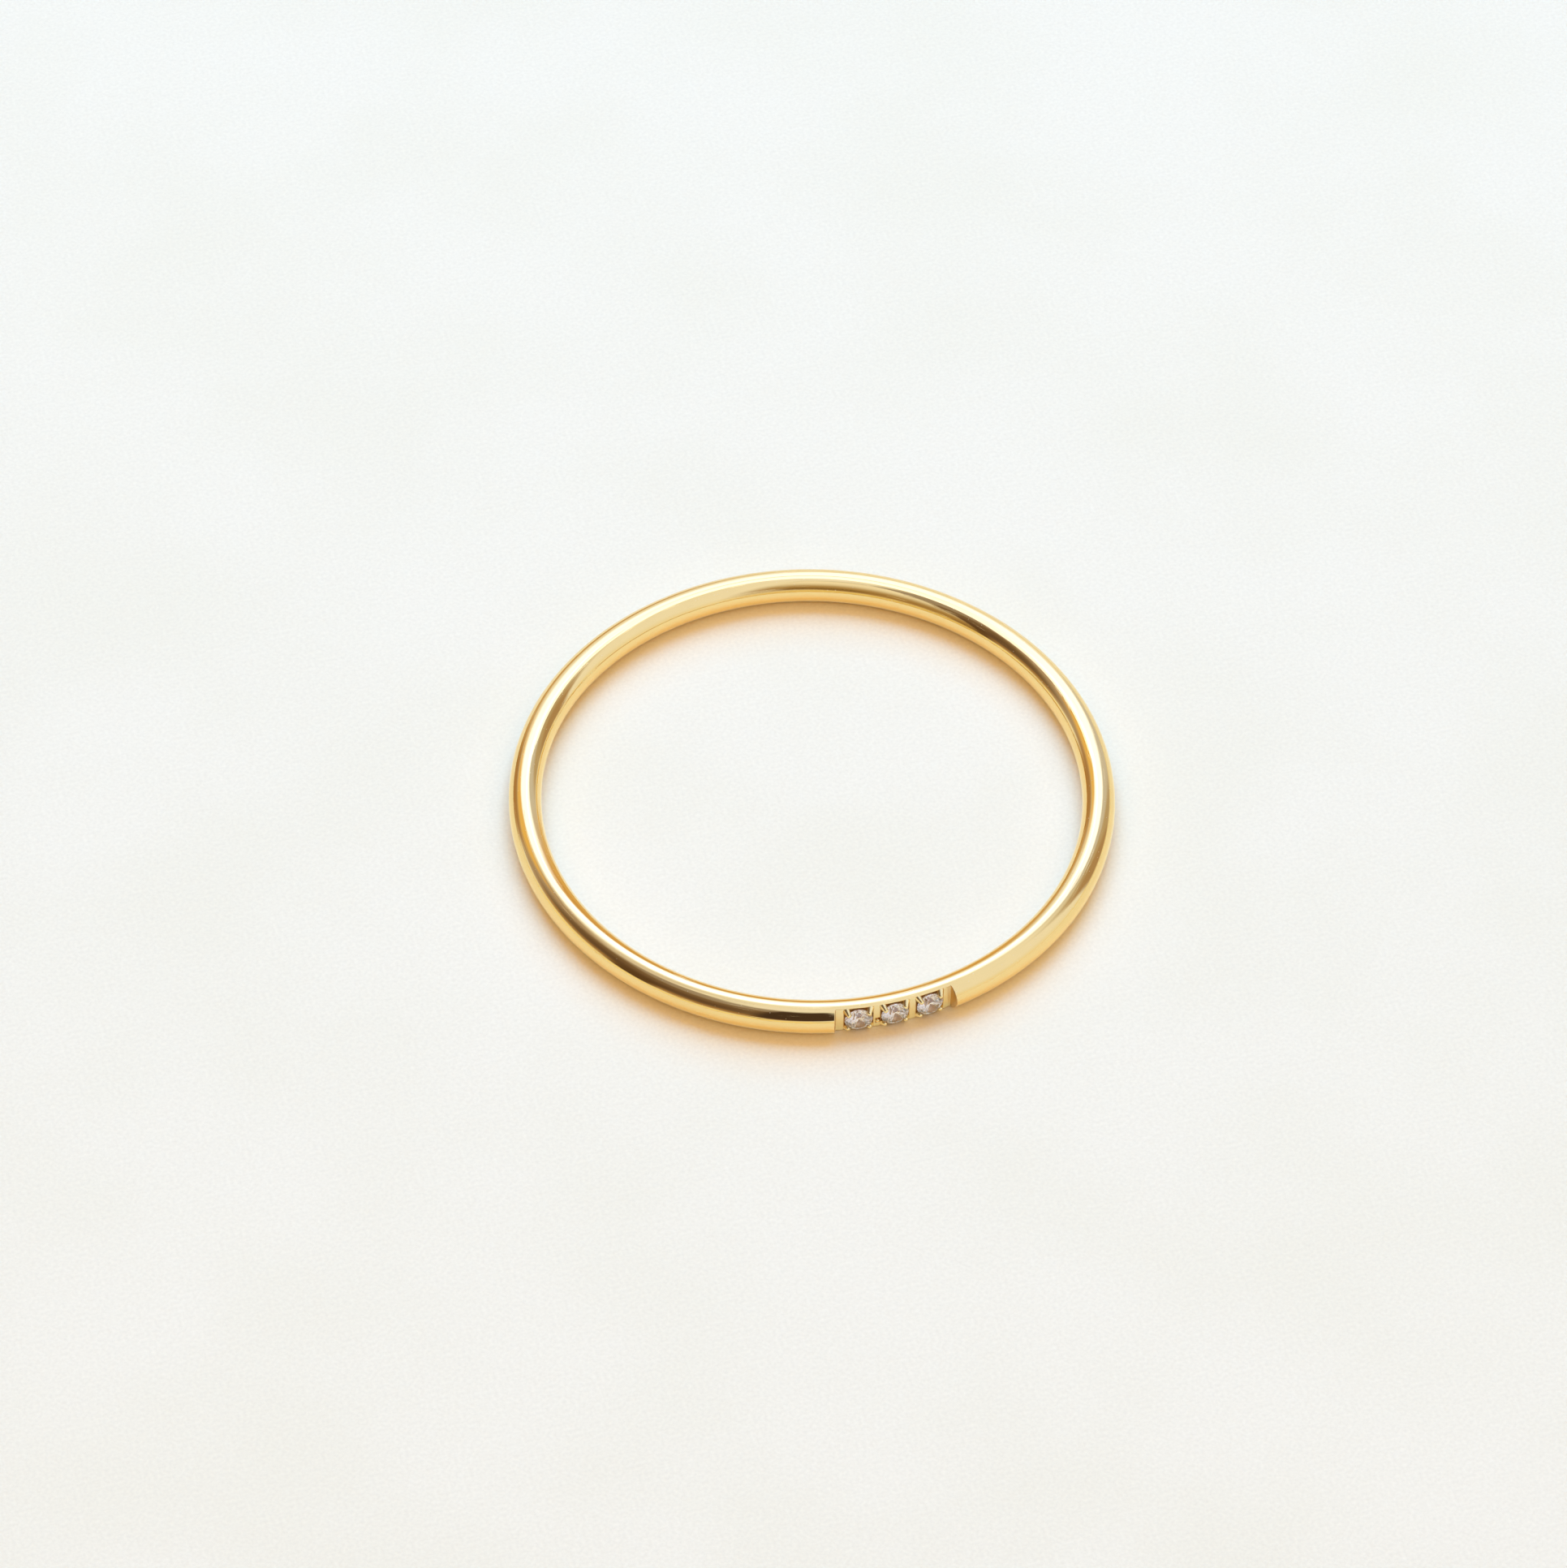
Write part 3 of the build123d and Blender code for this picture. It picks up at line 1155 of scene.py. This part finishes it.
@dataclass(frozen=True)
class PaperFloor:
    """Pale uncoated paper that the ring lies on.

    Attributes:
        half_width: half the sheet's side, in metres.
        colour: of the paper.
        cloud_shade: the tone of its slow clouds, as a share of each part of the colour.
        cloud_scale: how fine they are, in clouds per metre.
        fibre_scale: how fine its fibres are, in fibres per metre.
        grain_colour: of the hollows between its fibres.
        grain_share: how strong that colour is at most.
        fibre_height: height of its fibres, in millimetres.
        ring_reach: from the ring's axis to the middle of its wire, in millimetres.
        glow: brightness that reflections show in the shadow under the wire, above the paper's own.
        glow_full: distance from the middle of the wire up to which it is full, in millimetres.
        glow_end: distance at which it ends.
        sheen: the strength of its own faint shine.
    """

    half_width: float = 1.5
    colour: tuple[float, float, float] = (0.942, 0.922, 0.871)
    cloud_shade: tuple[float, float, float] = (0.975, 0.975, 0.955)
    cloud_scale: float = 120.0
    fibre_scale: float = 9000.0
    grain_colour: tuple[float, float, float] = (0.72, 0.70, 0.67)
    grain_share: float = 0.34
    fibre_height: float = 0.02
    ring_reach: float = 9.175
    glow: tuple[float, float, float] = (0.14, 0.19, 0.17)
    glow_full: float = 0.45
    glow_end: float = 1.5
    sheen: float = 0.2

    def build(self) -> bpy.types.Object:
        """Makes the floor at z = 0 and gives it its paper.

        Returns:
            The floor.
        """
        material, w, shader, place = new_material("paper")
        cloud, fibre = w.noise(place, self.cloud_scale, 4.0), w.noise(place, self.fibre_scale, 3.0)
        warm = tuple(shade * part for shade, part in zip(self.cloud_shade, self.colour))
        tone = w.mix(w.span(cloud, 0.35, 0.7), (*self.colour, 1), (*warm, 1))
        grain = w.span(fibre, 0.25, 0.75, 0.0, self.grain_share, "LINEAR")
        w.feed(shader.inputs["Base Color"], w.mix(grain, tone, (*self.grain_colour, 1)))
        w.feed(shader.inputs["Roughness"], w.span(fibre, 0.3, 0.7, 0.75, 0.95))
        bump = w.node("ShaderNodeBump")
        bump.inputs["Strength"].default_value = 0.35
        bump.inputs["Distance"].default_value = MM
        w.feed(bump.inputs["Height"], w.math("MULTIPLY", fibre, self.fibre_height))
        w.feed(shader.inputs["Normal"], bump.outputs["Normal"])
        shader.inputs["Specular IOR Level"].default_value = self.sheen
        reach = w.length(*w.split(place)[:2])
        beside = w.math("ABSOLUTE", w.math("SUBTRACT", w.math("DIVIDE", reach, MM), self.ring_reach))
        ray = w.node("ShaderNodeLightPath").outputs
        reflected = w.math("MULTIPLY", ray["Is Glossy Ray"], w.math("LESS_THAN", ray["Diffuse Depth"], 0.5))
        shader.inputs["Emission Color"].default_value = (*self.glow, 1)
        close = w.span(beside, self.glow_full, self.glow_end, 1, 0)
        w.feed(shader.inputs["Emission Strength"], w.math("MULTIPLY", close, reflected))
        material.cycles.emission_sampling = "NONE"
        corners = self.half_width * np.array([[-1, -1, 0], [1, -1, 0], [1, 1, 0], [-1, 1, 0]], float)
        return stage_sheet("paper_floor", corners, material)


# ---------------------------------------------------------------- studio


@dataclass(frozen=True)
class WallPatch:
    """A soft-edged part of the studio's walls and ceiling.

    Attributes:
        azimuth: of its middle, in the row frame.
        half_width: half its width, in degrees; 180 for all round.
        low: its lower edge's elevation, in degrees.
        high: its upper edge's elevation.
        side_blur: half width of its soft side edges, in degrees.
        low_blur: half width of its soft lower edge.
        high_blur: half width of its soft upper edge.
        colour: its brightness in each colour.
    """

    azimuth: float
    half_width: float
    low: float
    high: float
    side_blur: float
    low_blur: float
    high_blur: float
    colour: tuple[float, float, float]

    def mask(self, w: Wiring, x: object, y: object, z: object) -> bpy.types.NodeSocket:
        """Adds nodes for where it is seen: soft steps in the sine of elevation and the cosine of azimuth.

        Args:
            w: the world's wiring.
            x: the direction's first part.
            y: its second part.
            z: its third part.

        Returns:
            The mask.
        """
        low, high = self.low, self.high
        mask = w.span(z, sin(radians(low - self.low_blur)), sin(radians(low + self.low_blur)))
        if high < 90:
            upper = w.span(z, sin(radians(min(90, high + self.high_blur))) + 1e-3,
                           sin(radians(min(90, high - self.high_blur))))
            mask = w.math("MULTIPLY", mask, upper)
        if self.half_width < 180:
            turn = radians(self.azimuth)
            facing = w.math("MULTIPLY_ADD", x, sin(turn), w.math("MULTIPLY", y, -cos(turn)))
            side = w.span(w.math("DIVIDE", facing, w.math("MAXIMUM", w.length(x, y), 1e-4)),
                          cos(radians(self.half_width + self.side_blur)),
                          cos(radians(self.half_width - self.side_blur)))
            mask = w.math("MULTIPLY", mask, side)
        return mask


def area_light(name: str, width: float, height: float,
               radiance: tuple[float, float, float]) -> bpy.types.Object:
    """Makes a rectangular light. Its brightness is its power over pi times its area.

    Args:
        name: of the light.
        width: in metres.
        height: in metres.
        radiance: brightness of its front, in each colour.

    Returns:
        The light, at the origin, shining down.
    """
    data = bpy.data.lights.new(name, "AREA")
    data.shape = "RECTANGLE"
    data.size, data.size_y = width, height
    strength = max(radiance)
    data.color = tuple(part / strength for part in radiance)
    data.energy = strength * np.pi * width * height
    lamp = bpy.data.objects.new(name, data)
    bpy.context.scene.collection.objects.link(lamp)
    return lamp


@dataclass(frozen=True)
class SoftBox:
    """A soft light, either on the floor alone or as a sheen that shows in reflections alone.

    Attributes:
        name: of the light.
        azimuth: where it stands, in the row frame.
        elevation: of its middle, in degrees.
        distance: from the ring, in metres.
        width: its width, in metres.
        height: its height, in metres.
        radiance: brightness of its front, in each colour.
        sheen: whether it shows in reflections alone.
    """

    name: str
    azimuth: float
    elevation: float
    distance: float
    width: float
    height: float
    radiance: tuple[float, float, float]
    sheen: bool = False

    def build(self) -> bpy.types.Object:
        """Makes the light, facing the ring.

        Returns:
            The light.
        """
        lamp = area_light(self.name, self.width, self.height, self.radiance)
        direction = Vector((sin(radians(self.azimuth)) * cos(radians(self.elevation)),
                            -cos(radians(self.azimuth)) * cos(radians(self.elevation)),
                            sin(radians(self.elevation))))
        lamp.location = direction * self.distance
        lamp.rotation_euler = direction.to_track_quat("Z", "Y").to_euler()
        lamp.visible_camera = lamp.visible_transmission = False
        lamp.visible_glossy, lamp.visible_diffuse = self.sheen, not self.sheen
        return lamp


@dataclass(frozen=True)
class BounceCard:
    """An upright card of warm light across the loop, seen only in the polished metal behind it.

    Its colour goes by slope: height over the level distance from the loop's far side.

    Attributes:
        azimuth: the way its back faces, in the row frame.
        offset: how far it stands that way from the loop's axis, in millimetres.
        distance: from its face to the loop's far side.
        left: its left end beside the axis, seen from its back.
        right: its right end.
        side_blur: half width of its soft ends.
        steps: slopes at which it turns to each next colour, and ends.
        step_blur: half width of each turn, as a part of its slope.
        colours: its brightness between them, from the foot up.
    """

    azimuth: float
    offset: float
    distance: float
    left: float
    right: float
    side_blur: float
    steps: tuple[float, ...]
    step_blur: float
    colours: tuple[tuple[float, float, float], ...]

    def build(self) -> bpy.types.Object:
        """Makes the card's sheet, which shines from its face only and hides nothing.

        Returns:
            The card.
        """
        around = radians(self.azimuth)
        level = np.array([np.cos(around), np.sin(around), 0.0])
        foot = self.offset * np.array([np.sin(around), -np.cos(around), 0.0])
        reach = max(-self.left, self.right) + self.side_blur
        top = self.steps[-1] * (1 + self.step_blur) * np.hypot(self.distance, reach)
        ends = foot + (self.right + self.side_blur) * level, foot + (self.left - self.side_blur) * level
        corners = np.array([ends[0], ends[1], ends[1] + (0, 0, top), ends[0] + (0, 0, top)])
        material = bpy.data.materials.new("bounce_card")
        material.use_nodes = True
        material.node_tree.nodes.clear()
        w = Wiring(material.node_tree)
        x, y, z = w.split(w.node("ShaderNodeTexCoord").outputs["Object"])
        beside = w.math("ADD", w.math("MULTIPLY", x, level[0] / MM), w.math("MULTIPLY", y, level[1] / MM))
        slope = w.math("DIVIDE", w.math("DIVIDE", z, MM), w.length(beside, self.distance))
        below, above = 1 - self.step_blur, 1 + self.step_blur
        turns = [w.span(slope, step * below, step * above) for step in self.steps]
        colour: object = (*self.colours[0], 1)
        for turn, following in zip(turns, self.colours[1:]):
            colour = w.mix(turn, colour, (*following, 1))
        blur = self.side_blur
        side = w.math("MULTIPLY", w.span(beside, self.right - blur, self.right + blur, 1, 0),
                      w.span(beside, self.left - blur, self.left + blur))
        face = w.math("SUBTRACT", 1.0, w.node("ShaderNodeNewGeometry").outputs["Backfacing"])
        shown = w.math("MULTIPLY", w.math("MULTIPLY", side, w.math("SUBTRACT", 1.0, turns[-1])), face)
        glow, clear = w.node("ShaderNodeEmission"), w.node("ShaderNodeBsdfTransparent")
        w.feed(glow.inputs["Color"], colour)
        blend = w.node("ShaderNodeMixShader")
        w.feed(blend.inputs["Fac"], shown)
        w.feed(blend.inputs[1], clear.outputs[0])
        w.feed(blend.inputs[2], glow.outputs[0])
        w.feed(w.node("ShaderNodeOutputMaterial").inputs["Surface"], blend.outputs[0])
        material.cycles.emission_sampling = "NONE"
        card = stage_sheet("bounce_card", MM * corners, material)
        card.visible_camera = card.visible_diffuse = card.visible_transmission = card.visible_shadow = False
        return card


@dataclass
class Studio:
    """The room round the ring: walls and ceiling in soft patches, the soft boxes and the cards.

    Attributes:
        base: brightness of the bare walls.
        backdrop: the pale colour that the camera sees behind the ring.
        stone_evenness: how far the walls turn to an even tone where they are seen through the stones.
        stone_tone: that tone.
        patches: parts of the walls and ceiling, the later over the earlier.
        boxes: the soft boxes.
        cards: the cards in the loop.
    """

    base: tuple[float, float, float] = (0.90, 0.965, 1.19)
    backdrop: tuple[float, float, float] = (0.80, 0.78, 0.74)
    stone_evenness: float = 0.38
    stone_tone: tuple[float, float, float] = (0.66, 0.56, 0.47)
    patches: list[WallPatch] = field(default_factory=list)
    boxes: list[SoftBox] = field(default_factory=list)
    cards: list[BounceCard] = field(default_factory=list)

    def build(self) -> None:
        """Makes the world's shader, the lights and the cards. Each patch is mixed over those before it."""
        world = bpy.data.worlds.new("studio")
        bpy.context.scene.world = world
        world.cycles_visibility.diffuse = False
        world.use_nodes = True
        world.node_tree.nodes.clear()
        w = Wiring(world.node_tree)
        x, y, z = w.split(w.node("ShaderNodeTexCoord").outputs["Generated"])
        colour: object = (*self.base, 1)
        for patch in self.patches:
            colour = w.mix(patch.mask(w, x, y, z), colour, (*patch.colour, 1))
        ray = w.node("ShaderNodeLightPath").outputs
        in_stone = w.math("MULTIPLY", ray["Is Transmission Ray"], self.stone_evenness)
        colour = w.mix(in_stone, colour, (*self.stone_tone, 1))
        background = w.node("ShaderNodeBackground")
        w.feed(background.inputs["Color"], w.mix(ray["Is Camera Ray"], colour, (*self.backdrop, 1)))
        output = w.node("ShaderNodeOutputWorld")
        w.feed(output.inputs["Surface"], background.outputs[0])
        for box in self.boxes:
            box.build()
        for card in self.cards:
            card.build()


@dataclass(frozen=True)
class ViewPoint:
    """The camera: a long lens that looks down at the setting from in front.

    Attributes:
        azimuth: where it stands, in the row frame.
        elevation: in degrees.
        roll: of the frame, in degrees.
        distance: from the ring's middle, in millimetres.
        aim_right: how far the ring's middle stands right of the aim, in millimetres.
        aim_down: how far it stands below the aim.
        lens: focal length on a 36 mm wide frame.
    """

    azimuth: float = -16.45
    elevation: float = 48.652
    roll: float = 0.7067
    distance: float = 248.8
    aim_right: float = 0.909
    aim_down: float = 0.3705
    lens: float = 178.56

    def build(self, middle: Vector) -> bpy.types.Object:
        """Makes the camera and gives it to the scene.

        Args:
            middle: the ring's middle, in metres.

        Returns:
            The camera.
        """
        around, up_angle, roll = radians(self.azimuth), radians(self.elevation), radians(self.roll)
        back = Vector((sin(around) * cos(up_angle), -cos(around) * cos(up_angle), sin(up_angle)))
        level = Vector((cos(around), sin(around), 0))
        upright = back.cross(level)
        right = level * cos(roll) + upright * sin(roll)
        up = upright * cos(roll) - level * sin(roll)
        data = bpy.data.cameras.new("camera")
        data.lens, data.sensor_width, data.sensor_fit = self.lens, 36.0, "AUTO"
        data.clip_start, data.clip_end = 0.005, 10.0
        camera = bpy.data.objects.new("camera", data)
        place = middle + (back * self.distance - right * self.aim_right + up * self.aim_down) * MM
        turn = Matrix((right, up, back)).transposed().to_4x4()
        camera.matrix_world = Matrix.Translation(place) @ turn
        bpy.context.scene.collection.objects.link(camera)
        bpy.context.scene.camera = camera
        return camera


# ---------------------------------------------------------------- all together


@dataclass
class StackableRing:
    """The whole ring, dressed.

    Attributes:
        sizes: the ring's sizes.
        stone: the stones' proportions.
        stone_names: the stones' nodes, from the left.
        grain_shift: the slot's middle beside the first bar's middle, towards the middle stone.
    """

    sizes: RingSizes = field(default_factory=RingSizes)
    stone: Brilliant = field(default_factory=Brilliant)
    stone_names: tuple[str, ...] = ("stone_left", "stone_middle", "stone_right")
    grain_shift: float = 0.03

    def check(self) -> None:
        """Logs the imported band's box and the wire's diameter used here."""
        low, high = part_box("band")
        size = (high - low) / MM
        log.info("band box %.3f x %.3f x %.3f mm, wire here %.3f mm", *size, self.sizes.wire)

    def build(self, nodes: dict[str, bpy.types.Object]) -> None:
        """Makes every piece and dresses the stones.

        Args:
            nodes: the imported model's nodes by name.
        """
        self.check()
        groups = WearGroups()
        # The third colour of each gold is its painted shade for pockets, their edges and end walls.
        polished = Gold("gold_polished", (0.960, 0.710, 0.300), (0.66, 0.34, 0.10), roughness=0.050,
                        line_roughness=0.26, line_height=0.0012, wave_height=0.0018, speck_share=0.30)
        milled = Gold("gold_milled", (0.945, 0.815, 0.46), (0.66, 0.40, 0.15), roughness=0.30,
                      speck_share=0.04, grain_height=0.0004)
        beaded = Gold("gold_beaded", (0.990, 0.795, 0.395), (0.78, 0.52, 0.215), roughness=0.23,
                      speck_share=0.08, grain_height=0.0001)
        golds = [polished.material(groups), milled.material(groups)]
        bead_gold = [beaded.material(groups)]
        centres = [(place - 1) * self.sizes.pitch for place in range(len(self.stone_names))]
        grain = centres[0] + self.sizes.pitch / 2 + self.grain_shift
        slot = Groove(grain, 0.14, -0.33, -0.09, self.sizes.pocket)
        band = Band(self.sizes, self.stone, centres, slot).build(golds)
        log.info("%s: %d faces", band.name, len(band.data.polygons))
        for name, centre in zip(self.stone_names, centres):
            prongs = Prongs(self.sizes, self.stone, centre).build(name.replace("stone", "prongs"), bead_gold)
            log.info("%s: %d faces", prongs.name, len(prongs.data.polygons))
        bead = SpareGrain(self.sizes, grain).build(golds)
        log.info("%s: %d faces", bead.name, len(bead.data.polygons))
        clear = ClearStone().material(groups)
        for name in self.stone_names:
            stone = nodes[name]
            stone.data.materials.clear()
            stone.data.materials.append(clear)
            log.info("%s: dressed as %s", name, Slot.STONE.value)


def studio_for(view: ViewPoint) -> Studio:
    """Lays the studio out about the camera's azimuth.

    Args:
        view: the camera's place.

    Returns:
        The studio.
    """
    here = view.azimuth
    # azimuth, half width, low edge, high edge, side blur, low blur, high blur, colour
    patches = [
        WallPatch(here, 180, 83, 90, 10, 5, 6, (0.90, 0.97, 1.30)),
        WallPatch(here, 180, -80, 7, 10, 1, 6, (0.88, 0.84, 0.68)),
        WallPatch(here + 55, 36, -80, 18, 14, 1, 15, (0.90, 0.89, 0.86)),
        WallPatch(here - 45, 55, -80, 14, 12, 1, 4, (0.93, 0.85, 0.57)),
        WallPatch(here - 132, 32, 60, 73, 10, 7, 4, (0.74, 0.74, 0.90)),
        WallPatch(here - 62, 52, 62, 79, 12, 8, 4, (0.37, 0.34, 0.39)),
        WallPatch(here - 72, 66, 12, 63, 8, 5, 6, (0.45, 0.38, 0.38)),
        WallPatch(here - 50, 50, 15, 28, 9, 3.5, 5, (0.42, 0.26, 0.12)),
        WallPatch(here - 55, 50, 24, 66, 12, 6, 9, (0.20, 0.14, 0.105)),
        WallPatch(here - 56, 32, 29, 50, 12, 9, 10, (0.135, 0.085, 0.06)),
        WallPatch(here - 60, 7, 11, 40, 5, 3, 9, (0.11, 0.065, 0.035)),
        WallPatch(here - 3, 15, 17, 76, 4, 4, 6, (0.065, 0.042, 0.035)),
        WallPatch(here + 125, 15, 7, 52, 8, 5, 9, (0.50, 0.43, 0.37)),
        WallPatch(here + 113, 9, 7, 40, 4, 4, 9, (0.43, 0.31, 0.22)),
        WallPatch(here + 145, 8, 6, 56, 6, 5, 8, (0.62, 0.66, 0.90)),
        WallPatch(here - 136, 14, 26, 48, 8, 9, 5, (0.84, 0.60, 0.25)),
        WallPatch(here - 133, 13, -80, 24, 8, 1, 8, (0.42, 0.26, 0.14)),
        WallPatch(here - 158, 14, -80, 17, 8, 1, 9, (0.58, 0.40, 0.22)),
        WallPatch(here + 168, 13, 25, 58, 7, 6, 5, (1.40, 1.70, 2.90)),
        WallPatch(here - 168, 15, 36, 58, 8, 8, 5, (1.40, 1.70, 2.90)),
    ]
    back_hues = (0.74, 0.57, 0.25), (0.39, 0.265, 0.12), (0.62, 0.56, 0.50), (0.90, 0.93, 1.08)
    front_hues = (0.72, 0.50, 0.23), (0.66, 0.42, 0.16)
    # azimuth, offset, distance, left, right, side blur, steps, step blur, colours
    cards = [
        BounceCard(here, 0.0, 9.0, -7.7, 1.8, 0.9, (0.30, 1.0, 1.5, 5.0), 0.40, back_hues),
        BounceCard(here + 180, 0.0, 9.2, -5.0, 7.2, 1.2, (0.20, 0.42), 0.15, front_hues),
    ]
    # name, azimuth, elevation, distance, width, height, radiance, sheen
    boxes = [
        SoftBox("cool_key", here + 180, 47.5, 0.8, 0.78, 0.78, (0.607, 2.835, 4.806)),
        SoftBox("warm_ceiling", here, 90, 0.9, 2.4, 2.4, (1.31, 0.80, 0.345)),
        SoftBox("back_sheen", here + 180, 57.5, 0.0297, 0.013, 0.0090, (0.72, 0.88, 1.5), True),
    ]
    return Studio(patches=patches, boxes=boxes, cards=cards)


def set_up_render() -> None:
    """Sets how light is carried and shown, and leaves engine, size and samples alone."""
    scene = bpy.context.scene
    scene.view_settings.view_transform = "Standard"
    scene.view_settings.look = "None"
    cycles = scene.cycles
    cycles.use_denoising = True
    cycles.max_bounces = 24
    cycles.diffuse_bounces = 4
    cycles.glossy_bounces = 10
    cycles.transmission_bounces = 20
    cycles.caustics_reflective = True
    cycles.caustics_refractive = True
    cycles.blur_glossy = 0.3
    cycles.sample_clamp_indirect = 12.0


def main() -> None:
    """Builds the ring, the floor, the studio and the camera, in that order."""
    logging.basicConfig(level=logging.INFO, format="%(name)s: %(message)s")
    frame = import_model()
    StackableRing().build(frame["nodes"])
    low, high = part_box("band")
    view = ViewPoint()
    view.build(Vector((0.0, 0.0, (low.z + high.z) / 2)))
    PaperFloor().build()
    studio_for(view).build()
    set_up_render()


if __name__ == "__main__":
    main()
